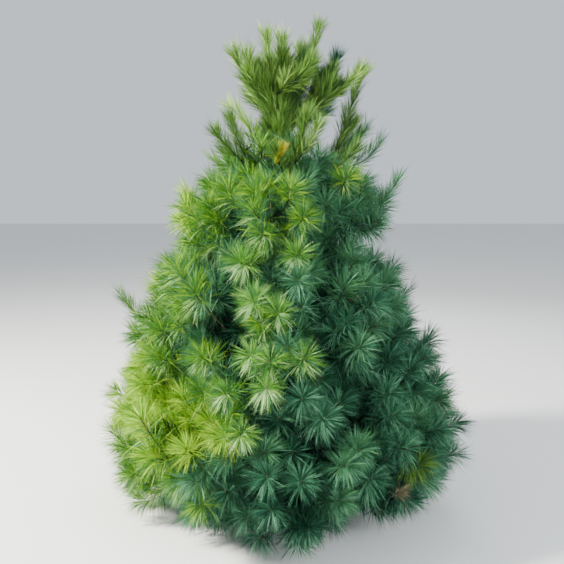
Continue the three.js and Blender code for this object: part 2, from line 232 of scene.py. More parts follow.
# Young shoots on the trunk, among the feet of the vase's long ones.
youngPlan = {
    "seed": 351,
    "count": 24,
    "turn": 0.38,  # turns round the trunk from each to the next
    "drift": 0.1,
    "lowest": 1.60,
    "highest": 1.96,
    "out": (0.03, 0.06, 0.17),  # the least, and the most of the lowest and of the highest
    "rise": (0.14, 0.24),
    "inner": [  # azimuth, distance from the middle and height of the tips of the longer ones
        (-30, 0.13, 2.10),
        (10, 0.18, 2.07),
        (-16, 0.24, 2.03),
        (24, 0.27, 2.02),
        (140, 0.12, 2.10),
    ],
    "innerDrop": 0.5,
}


def planYoung():
    dice = Dice(youngPlan["seed"])
    lines = []
    for k in range(youngPlan["count"]):
        azimuth = 2 * math.pi * (youngPlan["turn"] * k + dice.between(0, youngPlan["drift"]))
        share = k / youngPlan["count"]
        foot = trunkCentre(mix(youngPlan["lowest"], youngPlan["highest"], share))
        nearest, low, high = youngPlan["out"]
        out = dice.between(nearest, mix(low, high, share ** 2))
        tip = foot + outwards(azimuth) * out + up * dice.between(*youngPlan["rise"])
        lines.append(bentLine(foot, tip, vaseBend))
    for degrees, out, height in youngPlan["inner"]:
        tip = outwards(math.radians(degrees)) * out + up * height
        foot = trunkCentre(youngPlan["highest"] - youngPlan["innerDrop"] * out)
        lines.append(bentLine(foot, tip, vaseBend))
    return lines


limbs = planLimbs()
neckLines = [line for limb in limbs if limb["name"] == "neck" for line in planNeck(limb)]
vaseLines = planVase()
youngLines = planYoung()
siteShares = np.linspace(0.1, 1, 19)  # where along each limb a twig may look for its root
limbSites = np.array([lineAt(limb["line"], siteShares) for limb in limbs])
limbTips = limbSites[:, -1]
print("limbs planned:", len(limbs), "and on top", len(neckLines) + len(vaseLines), "shoots")


# Meshes of many small things, joined from arrays of points and of faces.
def meshObject(name, points, faces):
    mesh = bpy.data.meshes.new(name)
    mesh.vertices.add(len(points))
    mesh.vertices.foreach_set("co", points.astype(np.float32).ravel())
    mesh.loops.add(faces.size)
    mesh.loops.foreach_set("vertex_index", faces.astype(np.int32).ravel())
    mesh.polygons.add(len(faces))
    mesh.polygons.foreach_set("loop_start", np.arange(0, faces.size, 3, dtype=np.int32))
    mesh.update(calc_edges=True)
    mesh.validate()
    mesh.polygons.foreach_set("use_smooth", np.ones(len(mesh.polygons), bool))
    piece = bpy.data.objects.new(name, mesh)
    bpy.context.scene.collection.objects.link(piece)
    return piece


def crossFrame(headings):
    level = np.cross(up, headings)
    level[np.linalg.norm(level, axis=-1) < 1e-3] = (1, 0, 0)
    level = unit(level)
    return level, unit(np.cross(headings, level))


# One closed tube along each line, all with the same number of rings and sides.
def tubes(lines, shares, radii, sides):
    count, rings = radii.shape
    places = np.stack([lineAt(line, share) for line, share in zip(lines, shares)])
    headings = np.stack([headingAt(line, share) for line, share in zip(lines, shares)])
    level, steep = crossFrame(headings.reshape(-1, 3))
    level = level.reshape(count, rings, 1, 3)
    steep = steep.reshape(count, rings, 1, 3)
    angles = np.linspace(0, 2 * math.pi, sides, endpoint=False)
    rim = level * np.cos(angles)[:, None] + steep * np.sin(angles)[:, None]
    points = places[:, :, None] + rim * radii[:, :, None, None]
    ring, side = np.meshgrid(np.arange(rings - 1), np.arange(sides), indexing="ij")
    a = (ring * sides + side).ravel()
    b = (ring * sides + (side + 1) % sides).ravel()
    walls = np.stack([a, b, b + sides, a, b + sides, a + sides], axis=1).reshape(-1, 3)
    fan = np.array([[0, s + 1, s] for s in range(1, sides - 1)])
    faces = np.concatenate([walls, fan, fan[:, ::-1] + (rings - 1) * sides])
    offsets = np.arange(count) * rings * sides
    return points.reshape(-1, 3), (faces[None] + offsets[:, None, None]).reshape(-1, 3)


# Needles: a bundle is a few thin blades from one root, each bent down a little by its weight.
needlePlan = {
    "length": 0.122,
    "width": 0.0017,
    "perBundle": 2,
    "splay": 0.036,
    "ground": 0.010,
    "hanging": -0.12,  # needles that head lower than this belong to the pale under-spray, a painted highlight
    "firm": 0.45,  # the share of the droop that every needle has; the rest grows as it heads down
    "limp": 1.3,
    "bundleLengths": (0.72, 1.12),  # between which shares of each value the needles vary
    "lengths": (0.88, 1.05),
    "widths": (0.8, 1.2),
    "sags": (0.6, 1.4),
}
burstPlan = {
    "rootAngle": 88,
    "tipAngle": 32,
    "spread": 10,
    "crowd": 0.60,
    "droop": 0.42,
    "lift": 0,
    "perBundle": 3,
}
starBurst = {**burstPlan, "perBundle": 4, "width": 0.0014}
innerBurst = {**burstPlan, "perBundle": 1, "width": 0.0046}  # deep in the crown; the dark tints of its wide needles paint the shade inside it
deadBurst = {  # last year's needles, that hang together
    "rootAngle": 40,
    "tipAngle": 14,
    "spread": 8,
    "crowd": 1,
    "droop": 0.85,
    "lift": 0,
    "length": 0.62,
}
oldPlan = {  # the thinner older needles along a twig
    "bundles": 40,
    "first": 0.25,
    "last": 0.3,
    "rootAngle": 62,
    "tipAngle": 50,
    "spread": 9,
    "crowd": 0.8,
    "droop": 0.3,
    "lift": 0,
    "perBundle": 1,
    "width": 0.0052,
    "length": 0.95,
}
brushPlan = {
    "rootAngle": 38,
    "tipAngle": 27,
    "spread": 11,
    "crowd": 0.95,
    "droop": 0.06,
    "lift": 0.34,  # how far the needles of a brush turn up from their own heading
    "perBundle": 4,
    "width": 0.0012,
    "perMetre": 1050,
    "tuft": 36,
    "tuftFirst": 0.94,
    "tuftLength": 0.25,  # a shorter shoot has a smaller tuft
    "vaseFirst": 0.06,
    "neckFirst": 0.30,
    "length": 0.92,
    "litNarrow": 0.55,  # a brush takes the light of a place nearer the middle and lower
    "litBelow": 0.35,
    "shadedBeyond": 0.05,  # of the vase's shoots to the right of this, one in so many is shaded
    "shadedEach": 4,
    "youngShadedBeyond": 0.08,
}
shortBrush = {**brushPlan, "length": 0.48, "tuft": 180}  # the yellowed one below the vase


# Shoots: each ends a twig that grows from the nearest limb.
layerKeys = ("depth", "spacing", "lowest", "highest", "bundles", "needled")
layers = [dict(zip(layerKeys, row)) for row in [  # from the outline inwards
    (0.100, 0.118, 0.085, 1.69, 150, 0.120),
    (0.185, 0.135, 0.100, 1.77, 90, 0.150),
    (0.290, 0.140, 0.140, 1.85, 90, 0.180),
    (0.410, 0.140, 0.160, 1.60, 90, 0.220),
    (0.560, 0.150, 0.200, 1.30, 90, 0.260),
    (0.700, 0.150, 0.150, 0.98, 90, 0.260),
]]
shootPlan = {
    "seed": 7,
    "outerLayers": 2,
    "layerTurn": 0.7,
    "drift": 0.06,  # how far a shoot strays from its place in the turn
    "heightDrift": 0.022,
    "notchFade": 0.3,  # how much less each layer draws in between two limbs
    "roughen": 0.028,
    "roughenInwards": 0.1,
    "roughenMost": 1.2,
    "innermost": 0.06,
    "closest": 0.12,
    "followTrunk": (0.5, 0.5, 0),
    "lowRise": 22,
    "highRise": 62,
    "riseHeight": 1.7,
    "swing": 0.42,
    "riseSpread": 16,
    "lowestTip": 0.075,
    "bare": 0.1,  # the least share of a twig that bears no young needles
}
rootPlan = {  # where a twig leaves its limb
    "back": (0.12, 0.30),
    "first": 0.12,
    "last": 0.92,
    "bend": 0.5,
}
starPlan = {
    "depth": 0.086,
    "clearing": 0.075,
    "rise": 30,
    "riseSpread": 8,
    "swing": 0.15,
    "bundles": 175,
    "needled": 0.11,
}
deadTufts = {"depth": 0.055, "bundles": 80, "needled": 0.05}
stars = [  # azimuth, height and tint of the bursts that stand out from the rest; the tints paint each burst lit or shaded, all but straw, the dead needles
    (-120, 0.85, "fresh"), (-102, 0.87, "spring"), (-95, 0.85, "spring"), (-84, 0.86, "spring"),
    (-109, 0.72, "spring"), (-96, 0.75, "spring"), (-108, 0.56, "sun"), (-103, 0.57, "spring"),
    (-102, 1.09, "spring"), (-93, 1.04, "spring"), (-102, 1.36, "fresh"), (-112, 1.24, "spring"),
    (-84, 1.27, "spring"), (-81, 1.43, "fresh"), (-85, 1.17, "mid"), (-108, 1.54, "fresh"),
    (-87, 1.55, "fresh"), (-99, 1.00, "fresh"), (-121, 0.35, "fresh"), (-115, 0.26, "fresh"),
    (-137, 0.55, "sun"), (-85, 0.71, "blue"), (-79, 0.63, "blue"), (-70, 0.51, "mid"),
    (-74, 0.46, "mid"), (-75, 0.30, "mid"), (-86, 0.40, "blue"), (-95, 0.42, "blue"),
    (-94, 0.27, "deep"), (-48, 0.38, "moss"), (-66, 0.38, "blue"), (-41, 1.03, "mid"),
    (-63, 0.89, "mid"), (-44, 1.60, "fresh"), (-57, 0.30, "straw"), (-133, 0.56, "straw"),
    (-56, 0.61, "blue"), (-28, 0.59, "mid"), (-38, 0.50, "blue"), (-9, 0.40, "blue"),
]
# Hollows of the crown, where no shoot of the outer layer stands: azimuth and height of each.
hollowRadius = 0.075
hollows = [
    (-44, 0.88), (-61, 0.78), (-66, 1.38), (-70, 0.61), (-71, 0.88), (-81, 0.75),
    (-81, 1.04), (-87, 0.50), (-88, 1.39), (-94, 1.33), (-98, 1.22), (-103, 0.66),
    (-111, 0.86), (-112, 1.01), (-118, 1.37), (-122, 1.16), (-90, 1.67),
]
# A deeper notch, where the outline draws in on the right.
notchPlan = {"firstAzimuth": -26, "lastAzimuth": 42, "lowest": 1.19, "highest": 1.36}
strayPlan = {"bundles": 120, "needled": 0.17, "rise": 52, "riseSpread": 6, "stem": 0.24}
strays = [  # tips of the longer shoots that stand out of the outline
    (-0.815, -0.02, 1.010), (-0.655, 0.05, 1.020), (-0.495, -0.05, 1.545), (-0.350, 0.03, 1.690),
    (-0.262, 0.02, 1.950), (0.395, 0.04, 1.835), (0.465, 0.00, 1.775), (0.555, -0.04, 1.600),
    (0.625, 0.06, 1.030), (0.715, -0.05, 0.810), (0.805, 0.04, 0.580), (-0.83, 0.08, 0.57),
    (0.05, 0.70, 1.020), (-0.33, 0.48, 1.560), (0.42, 0.66, 0.82),
]
bareNeedled = 0.08
bareTwigs = [  # feet and tips of twigs that show as dark lines on the crown's sunny side
    [(-0.250, -0.600, 0.960), (-0.483, -0.455, 1.215)],
    [(-0.490, -0.730, 0.450), (-0.614, -0.662, 0.600)],
]
# Shoots beside the vase: foot, tip, the share that bears no needles, and the tint.
besideVase = [
    [(0.180, 0.02, 1.560), (0.362, 0.01, 2.085), 0.42, "moss"],
    [(-0.060, -0.27, 1.650), (-0.020, -0.32, 1.722), 0.20, "amber"],
]


def crownNotch(point):
    gap = float(np.linalg.norm(limbTips - point, axis=1).min())
    return crownPlan["notch"] * smooth(gap, crownPlan["notchNear"], crownPlan["notchFar"])


def crownPoint(degrees, z, depth):
    return outwards(math.radians(degrees)) * (crownReach(z) - depth) + up * z


def inNotch(point):
    degrees = math.degrees(math.atan2(point[1], point[0]))
    beside = notchPlan["firstAzimuth"] < degrees < notchPlan["lastAzimuth"]
    return beside and notchPlan["lowest"] < point[2] < notchPlan["highest"]


def growTwig(tip, heading, draw):
    gaps = np.linalg.norm(limbSites - tip, axis=2)
    limb = int(gaps.min(axis=1).argmin())
    along = siteShares[int(gaps[limb].argmin())]
    line = limbs[limb]["line"]
    share = np.clip(along - draw.uniform(*rootPlan["back"]), rootPlan["first"], rootPlan["last"])
    root = lineAt(line, share)
    length = np.linalg.norm(tip - root)
    return limbs[limb]["name"], np.array([root, tip - heading * rootPlan["bend"] * length, tip])


def growStars(draw):
    grown = []
    for degrees, z, tint in stars:
        dead = tint == "straw"
        plan = deadTufts if dead else starPlan
        tip = crownPoint(degrees, z, plan["depth"])
        azimuth = math.radians(degrees) + draw.normal(0, starPlan["swing"])
        rise = starPlan["rise"] + draw.normal(0, starPlan["riseSpread"])
        group, line = growTwig(tip, risingHeading(azimuth, math.radians(rise)), draw)
        shoot = {**plan, "burst": deadBurst if dead else starBurst, "tint": tint}
        grown.append({**shoot, "layer": 0, "group": group, "line": line})
    return grown


def growStrays(draw):
    grown = []
    for tip in np.array(strays):
        azimuth = math.atan2(tip[1], tip[0])
        rise = strayPlan["rise"] + draw.normal(0, strayPlan["riseSpread"])
        heading = risingHeading(azimuth, math.radians(rise))
        group, line = growTwig(tip, heading, draw)
        line[1] = tip - heading * strayPlan["stem"]
        grown.append({**strayPlan, "burst": brushPlan, "layer": 0, "group": group, "line": line})
    for foot, tip in np.array(bareTwigs):
        group, line = growTwig(tip, unit(tip - foot), draw)
        line = bentLine(foot, tip, vaseBend)
        twig = {**strayPlan, "needled": bareNeedled, "burst": burstPlan}
        grown.append({**twig, "layer": 0, "group": group, "line": line})
    return grown


def shootTip(azimuth, z, distance, draw):
    tip = trunkCentre(z) * shootPlan["followTrunk"] + outwards(azimuth) * distance
    tip[2] = max(shootPlan["lowestTip"], z + draw.normal(0, shootPlan["heightDrift"]))
    return tip


def shootHeading(azimuth, z, draw):
    rise = mix(shootPlan["lowRise"], shootPlan["highRise"], z / shootPlan["riseHeight"])
    azimuth += draw.normal(0, shootPlan["swing"])
    return risingHeading(azimuth, math.radians(rise + draw.normal(0, shootPlan["riseSpread"])))


# Turn after turn up the crown, in each layer. The outer layer leaves the stars and hollows free, and
# the two outer ones leave the notch.
def growShoots():
    draw = np.random.default_rng(shootPlan["seed"])
    shoots = growStars(draw) + growStrays(draw)
    taken = np.array([shoot["line"][2] for shoot in shoots])
    for layer, plan in enumerate(layers):
        hollowed = np.array([crownPoint(*place, plan["depth"]) for place in hollows])
        burst = burstPlan if layer < shootPlan["outerLayers"] else innerBurst
        inwards = max(0, 1 - shootPlan["notchFade"] * layer)
        z = plan["lowest"]
        i = 0
        while z < plan["highest"]:
            azimuth = i * goldenAngle + shootPlan["layerTurn"] * layer + draw.normal(0, shootPlan["drift"])
            distance = crownReach(z) - plan["depth"]
            distance -= crownNotch(outwards(azimuth) * distance + up * z) * inwards
            uneven = min(shootPlan["roughenMost"], draw.normal(-shootPlan["roughenInwards"], 1.0))
            distance += shootPlan["roughen"] * uneven
            if distance > shootPlan["innermost"]:
                tip = shootTip(azimuth, z, distance, draw)
                group, line = growTwig(tip, shootHeading(azimuth, z, draw), draw)
                clear = np.linalg.norm(taken - tip, axis=1).min() > starPlan["clearing"]
                clear = clear and np.linalg.norm(hollowed - tip, axis=1).min() > hollowRadius
                if layer > 1 or not inNotch(tip) and (layer == 1 or clear):
                    shoots.append({**plan, "burst": burst, "layer": layer, "group": group, "line": line})
            z += plan["spacing"] ** 2 / (2 * math.pi * max(shootPlan["closest"], distance))
            i += 1
    return shoots


shoots = growShoots()
print("shoots grown:", len(shoots))


# Bundles of needles on the stretch of a line between two shares of it.
def growBundles(line, first, last, plan, bundles, draw):
    along = draw.uniform(0, 1, bundles) ** plan["crowd"]
    share = mix(first, last, along)
    axis = headingAt(line, share)
    level, steep = crossFrame(axis)
    turn = draw.uniform(0, 2 * math.pi, bundles)
    around = level * np.cos(turn)[:, None] + steep * np.sin(turn)[:, None]
    spread = draw.normal(0, plan["spread"], bundles)
    angle = np.radians(mix(plan["rootAngle"], plan["tipAngle"], along) + spread)
    headings = around * np.sin(angle)[:, None] + axis * np.cos(angle)[:, None]
    headings = unit(headings + up * plan["lift"])
    shares = draw.uniform(*needlePlan["bundleLengths"], bundles)
    lengths = needlePlan["length"] * plan.get("length", 1) * shares
    return lineAt(line, share), headings, lengths


# Tints: which tint a spray of needles takes from where it stands, and those it is flecked with; most of them
# paint the light and shade of that place.
tintPlan = {
    # The lighter greens paint lit needles and the darker ones shaded needles; the palest are painted
    # highlights on hanging needles and lighter flecks.
    # amber and straw are the colours of yellowed and dead needles.
    "gold": (0.420, 0.610, 0.060),
    "sun": (0.285, 0.500, 0.022),
    "spring": (0.130, 0.345, 0.030),
    "fresh": (0.085, 0.235, 0.014),
    "olive": (0.165, 0.305, 0.042),
    "moss": (0.090, 0.195, 0.034),
    "shade": (0.026, 0.070, 0.018),
    "mid": (0.048, 0.155, 0.055),
    "pale": (0.330, 0.540, 0.150),
    "silver": (0.480, 0.740, 0.300),
    "blue": (0.040, 0.145, 0.072),
    "deep": (0.016, 0.075, 0.038),
    "frost": (0.120, 0.290, 0.165),
    "dark": (0.006, 0.034, 0.022),
    "amber": (0.520, 0.420, 0.028),
    "straw": (0.230, 0.200, 0.120),
}
flecks = {  # lighter and darker, dealt at random, and underneath: a painted highlight on the needles that hang
    "sun": ("gold", "fresh", "gold"),
    "spring": ("pale", "mid", "silver"),
    "fresh": ("sun", "mid", "pale"),
    "olive": ("pale", "shade", "pale"),
    "moss": ("olive", "shade", "olive"),
    "shade": ("moss", "dark", "moss"),
    "mid": ("frost", "blue", "frost"),
    "blue": ("frost", "deep", "frost"),
    "deep": ("blue", "dark", "frost"),
    "dark": ("blue", "dark", "dark"),
    "amber": ("gold", "amber", "gold"),
    "straw": ("straw", "straw", "straw"),
}
fleckPlan = {"lighter": 0.13, "darker": 0.70, "underneath": 0.36}
starFlecks = {"lighter": 0.18, "darker": 0.64, "underneath": 0.44}
brushFlecks = {"lighter": 0.24, "darker": 0.76, "underneath": 0.40}
# How lit each place of the crown is, painted into the tints of its needles: lighter to the left and higher
# up, darker deeper inside.
lightPlan = {
    "side": 0.78,
    "farthest": 0.34,  # the shade is no deeper beyond this far to the right
    "height": 0.26,
    "middle": 1.1,
    "noise": 0.10,
    "layer": 0.36,
    "thin": 0.80,  # how far light reaches the inner shoots of the neck
    "thinHeights": (1.45, 1.72),
    "valley": 0.22,  # painted shade: how much darker it is between the masses of two limbs
    "glow": 0.56,  # painted light: how much lighter the crown is where it bulges most
    "glowHeight": 0.61,
    "glowBand": 0.16,
    "glowFarthest": 0.45,  # the glow grows from the middle to this far to the left
    "hollow": 0.24,  # painted shade: how much darker it is where the crown draws in above that
    "hollowHeight": 0.92,
    "hollowBand": 0.14,
    "dim": 0.95,  # painted shade: how much darker the foot is in the middle of the front
    "dimReach": 0.34,
    "dimPlace": (-82, 0.17),  # the azimuth and height of its middle
    "steps": [(0.44, "sun"), (0.03, "fresh"), (-0.36, "mid")],  # the tint of what is lighter than each
    "deepest": -0.70,  # an outer shoot that is darker than this takes the tint deep, and others blue
}


# Paints the light and shade of a place into a tint.
def tintAt(point, layer, draw):
    light = -min(point[0], lightPlan["farthest"]) * lightPlan["side"]
    light += (point[2] - lightPlan["middle"]) * lightPlan["height"]
    deep = layer * (1 - lightPlan["thin"] * smooth(point[2], *lightPlan["thinHeights"]))
    light += draw.normal(0, lightPlan["noise"]) - deep * lightPlan["layer"]
    light -= lightPlan["valley"] * crownNotch(point) / crownPlan["notch"]
    bulge = math.exp(-((point[2] - lightPlan["glowHeight"]) / lightPlan["glowBand"]) ** 2)
    light += lightPlan["glow"] * bulge * smooth(-point[0], 0, lightPlan["glowFarthest"])
    footGap = float(np.linalg.norm(point - crownPoint(*lightPlan["dimPlace"], layers[0]["depth"])))
    light -= lightPlan["dim"] * math.exp(-(footGap / lightPlan["dimReach"]) ** 2)
    inwards = math.exp(-((point[2] - lightPlan["hollowHeight"]) / lightPlan["hollowBand"]) ** 2)
    light -= lightPlan["hollow"] * inwards
    for least, tint in lightPlan["steps"]:
        if light > least:
            return tint
    # the inner layers get painted shade deep inside the crown
    if deep > 1:
        return "dark"
    return "deep" if light < lightPlan["deepest"] else "blue"


def shadesOf(tint, hanging, shares, draw):
    lighter, darker, underneath = flecks[tint]
    luck = draw.uniform(0, 1, len(hanging))
    shades = np.where(luck < shares["lighter"], lighter, np.where(luck > shares["darker"], darker, tint))
    return np.where(hanging & (luck < shares["underneath"]), underneath, shades)


needles = {}  # the blades of each group and shade


def addNeedles(group, tint, bundles, plan, draw, shares=fleckPlan):
    n = plan.get("perBundle", needlePlan["perBundle"])
    hanging = bundles[1][:, 2] < needlePlan["hanging"]
    shades = np.repeat(shadesOf(tint, hanging, shares, draw), n)
    roots, headings, lengths = (np.repeat(part, n, axis=0) for part in bundles)
    count = len(roots)
    headings = unit(headings + draw.normal(0, needlePlan["splay"], headings.shape))
    halfLengths = lengths * draw.uniform(*needlePlan["lengths"], count) / 2
    halfWidths = plan.get("width", needlePlan["width"]) * draw.uniform(*needlePlan["widths"], count) / 2
    sideways = unit(np.cross(headings, draw.normal(size=(count, 3)))) * halfWidths[:, None]
    middles = roots + headings * halfLengths[:, None]
    sag = plan["droop"] * (needlePlan["firm"] + needlePlan["limp"] * np.clip(-headings[:, 2], 0, 1))
    sagged = unit(headings - up * (sag * draw.uniform(*needlePlan["sags"], count))[:, None])
    tips = middles + sagged * halfLengths[:, None]
    blades = np.stack([roots, middles + sideways, middles - sideways, tips], axis=1)
    clear = np.minimum(middles[:, 2], tips[:, 2]) > needlePlan["ground"]
    for shade in tintPlan:
        chosen = clear & (shades == shade)
        if chosen.any():
            needles.setdefault((group, shade), []).append(blades[chosen])


# The older needles along a twig take a darker tint than its young ones: painted shade inside the crown, where
# they stand.
oldNeedleShadeTints = {"sun": "fresh", "fresh": "mid", "spring": "blue", "mid": "blue"}
dressSeeds = {"shoots": 11, "top": 13, "sides": 17}


def dressShoots():
    draw = np.random.default_rng(dressSeeds["shoots"])
    for shoot in shoots:
        line = shoot["line"]
        burst = shoot["burst"]
        tint = shoot.get("tint") or tintAt(line[2], shoot["layer"], draw)
        first = max(shootPlan["bare"], 1 - shoot["needled"] / lineLength(line))
        bundles = growBundles(line, first, 1, burst, shoot["bundles"], draw)
        shares = starFlecks if "tint" in shoot else fleckPlan
        addNeedles(shoot["group"], tint, bundles, burst, draw, shares)
        if shoot["layer"] <= shootPlan["outerLayers"]:
            last = max(oldPlan["last"], first)
            old = growBundles(line, oldPlan["first"], last, oldPlan, oldPlan["bundles"], draw)
            addNeedles(shoot["group"], oldNeedleShadeTints.get(tint, "dark"), old, oldPlan, draw)


# Brushes: the long upright shoots of the neck and of the vase, with needles all along them.
def besideLine(foot, tip):
    return bentLine(np.array(foot), np.array(tip), vaseBend)


def dressBrush(group, line, first, draw, tint=None, plan=brushPlan):
    if tint is None:
        # painted light and shade: a lit place gives the olive tint, a shaded one moss
        place = line[2] * (plan["litNarrow"], 1, 1) - up * plan["litBelow"]
        tint = "olive" if tintAt(place, 0, draw) in ("sun", "fresh") else "moss"
    length = lineLength(line)
    bundles = growBundles(line, first, 1, plan, int(plan["perMetre"] * length * (1 - first)), draw)
    addNeedles(group, tint, bundles, plan, draw, brushFlecks)
    count = int(plan["tuft"] * min(1, length / plan["tuftLength"]))
    tuft = growBundles(line, plan["tuftFirst"], 1, plan, count, draw)
    addNeedles(group, tint, tuft, plan, draw, brushFlecks)


# Side shoots of a long shoot: where each leaves it, how far it turns aside and how long it is.
sidePlan = {
    "shares": (0.15, 0.28, 0.40, 0.52),
    "aside": 27,
    "spread": 7,
    "lengths": (0.28, 0.44),
    "bend": 0.55,
    "lift": 0.2,
}


def growSides(lines):
    draw = np.random.default_rng(dressSeeds["sides"])
    grown = []
    for line in lines:
        for share in sidePlan["shares"]:
            root = lineAt(line, share)
            axis = headingAt(line, share)
            level, steep = crossFrame(axis[None])
            turn = draw.uniform(0, 2 * math.pi)
            around = level[0] * math.cos(turn) + steep[0] * math.sin(turn)
            angle = math.radians(sidePlan["aside"] + draw.normal(0, sidePlan["spread"]))
            heading = unit(axis * math.cos(angle) + around * math.sin(angle))
            length = draw.uniform(*sidePlan["lengths"]) * (1 - share) * lineLength(line)
            tip = root + heading * length + up * sidePlan["lift"] * length
            grown.append(np.array([root, root + heading * sidePlan["bend"] * length, tip]))
    return grown


vaseSides = growSides(vaseLines)


def dressTop():
    draw = np.random.default_rng(dressSeeds["top"])
    for k, line in enumerate(vaseLines + vaseSides):
        shaded = line[2][0] > brushPlan["shadedBeyond"] and k % brushPlan["shadedEach"] == 1
        dressBrush("vase", line, brushPlan["vaseFirst"], draw, "deep" if shaded else None)
    for line in youngLines:
        shaded = line[2][0] > brushPlan["youngShadedBeyond"]
        dressBrush("vase", line, brushPlan["vaseFirst"], draw, "shade" if shaded else "moss")
    for line in neckLines:
        dressBrush("neck", line, brushPlan["neckFirst"], draw)
    for foot, tip, first, tint in besideVase:
        plan = shortBrush if tint == "amber" else brushPlan
        dressBrush("vase", besideLine(foot, tip), first, draw, tint, plan)


dressShoots()
dressTop()
print("needles grown for", len(needles), "pieces")


# Materials: a socket with arithmetic, and a finish that adds any other node.
class Value:
    def __init__(self, finish, socket):
        self.finish = finish
        self.socket = socket

    def maths(self, operation, a, b):
        return self.finish.node("ShaderNodeMath", {"operation": operation}, {0: a, 1: b})

    def __add__(self, other):
        return self.maths("ADD", self, other)

    def __mul__(self, other):
        return self.maths("MULTIPLY", self, other)

    __radd__ = __add__
    __rmul__ = __mul__


class Finish:
    def __init__(self, name, roughness):
        self.material = bpy.data.materials.new(name)
        self.material.use_nodes = True
        self.tree = self.material.node_tree
        self.shader = self.tree.nodes["Principled BSDF"]
        self.shader.inputs["Roughness"].default_value = roughness

    def put(self, socket, value):
        if isinstance(value, Value):
            self.tree.links.new(value.socket, socket)
        else:
            socket.default_value = value

    def node(self, kind, settings=None, inputs=None, output=0):
        node = self.tree.nodes.new(kind)
        for key, value in (settings or {}).items():
            setattr(node, key, value)
        for key, value in (inputs or {}).items():
            self.put(node.inputs[key], value)
        return Value(self, node.outputs[output])

    def noise(self, place, scale, detail):
        inputs = {"Vector": place, "Scale": scale, "Detail": detail}
        return self.node("ShaderNodeTexNoise", inputs=inputs)

    def ramp(self, factor, stops):
        value = self.node("ShaderNodeValToRGB", inputs={"Fac": factor})
        ramp = value.socket.node.color_ramp
        for stop, (place, colour) in zip((ramp.elements[0], ramp.elements[1]), (stops[0], stops[-1])):
            stop.position = place
            stop.color = (*colour, 1)
        for place, colour in stops[1:-1]:
            ramp.elements.new(place).color = (*colour, 1)
        return value

    def finish(self, **values):
        for key, value in values.items():
            self.put(self.shader.inputs[key.replace("_", " ")], value)
        return self.material


def plainFinish(name, tone, roughness, gloss=0.5):
    return Finish(name, roughness).finish(Base_Color=(*tone, 1), Specular_IOR_Level=gloss)


barkLook = {
    "roughness": 0.82,
    "tones": [  # from the cracks over old and young bark to its bloom
        (0.30, (0.022, 0.016, 0.012)),
        (0.45, (0.120, 0.088, 0.062)),
        (0.62, (0.085, 0.080, 0.045)),
        (0.80, (0.150, 0.140, 0.110)),
    ],
    "streaks": (55, 55, 14),
    "streakDetail": 6.0,
    "streakShare": 0.6,
    "blotches": 9,
    "blotchDetail": 4.0,
    "blotchShare": 0.45,
    "bump": 0.35,
    "bumpDepth": 0.004,
}


def barkFinish(name):
    bark = Finish(name, barkLook["roughness"])
    place = bark.node("ShaderNodeTexCoord", output="Object")
    drawn = bark.node("ShaderNodeMapping", inputs={"Vector": place, "Scale": barkLook["streaks"]})
    streak = bark.noise(drawn, 1.0, barkLook["streakDetail"])
    blotch = bark.noise(place, barkLook["blotches"], barkLook["blotchDetail"])
    blend = streak * barkLook["streakShare"] + blotch * barkLook["blotchShare"]
    relief = {"Height": streak, "Strength": barkLook["bump"], "Distance": barkLook["bumpDepth"]}
    bump = bark.node("ShaderNodeBump", inputs=relief)
    return bark.finish(Base_Color=bark.ramp(blend, barkLook["tones"]), Normal=bump)


# A straight limb, modelled once and then laid along the trunk and each bough.
limbModel = {
    "sides": 18,
    "steps": 72,
    "relief": 0.16,
    "grain": 0.9,
    "footCrowd": 1.25,  # the trunk's rings lie closer together near the ground
    "boughTip": 0.22,
    "boughTaper": 0.8,
}


def selectNothing():
    bpy.ops.object.select_all(action="DESELECT")


def modelStraightLimb():
    selectNothing()
    bpy.ops.mesh.primitive_circle_add(vertices=limbModel["sides"], radius=1, fill_type="NGON")
    limb = bpy.context.object
    bpy.ops.object.mode_set(mode="EDIT")
    bpy.ops.mesh.select_all(action="SELECT")
    for step in range(limbModel["steps"]):
        bpy.ops.mesh.extrude_region_move(TRANSFORM_OT_translate={"value": (0, 0, 1)})
    bpy.ops.mesh.select_all(action="SELECT")
    bpy.ops.mesh.normals_make_consistent(inside=False)
    bpy.ops.object.mode_set(mode="OBJECT")
    texture = bpy.data.textures.new("barkRelief", "CLOUDS")
    texture.noise_scale = limbModel["grain"]
    relief = limb.modifiers.new("relief", "DISPLACE")
    relief.texture = texture
    relief.texture_coords = "LOCAL"
    relief.strength = limbModel["relief"]
    bpy.ops.object.modifier_apply(modifier="relief")
    bpy.ops.object.shade_smooth()
    return limb


# Lays a copy of the straight limb along a way, which gives a ring's middle, its two directions and
# its radius at a share of the length.
def layLimb(model, name, way):
    piece = model.copy()
    piece.data = model.data.copy()
    piece.name = piece.data.name = name
    bpy.context.scene.collection.objects.link(piece)
    for vertex in piece.data.vertices:
        x, y, z = vertex.co
        share = min(1, max(0, z / limbModel["steps"]))
        middle, level, steep, radius = way(share, math.atan2(y, x))
        vertex.co = middle + (level * x + steep * y) * radius
    return piece


def trunkWay(share, azimuth):
    z = trunkPlan["top"] * share ** limbModel["footCrowd"]
    return trunkCentre(z), np.array([1.0, 0, 0]), np.array([0, 1.0, 0]), trunkRadius(z, azimuth)


def boughWay(limb):
    def way(share, azimuth):
        level, steep = crossFrame(headingAt(limb["line"], share)[None])
        radius = limb["foot"] * mix(1, limbModel["boughTip"], share ** limbModel["boughTaper"])
        return lineAt(limb["line"], share), level[0], steep[0], radius
    return way


def joined(pieces, name):
    selectNothing()
    for piece in pieces:
        piece.select_set(True)
    bpy.context.view_layer.objects.active = pieces[0]
    bpy.ops.object.join()
    pieces[0].name = pieces[0].data.name = name
    return pieces[0]


def settle(piece, finish, nodes):
    piece.data.materials.clear()
    piece.data.materials.append(finish)
    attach(piece, "root")
    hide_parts(*nodes)


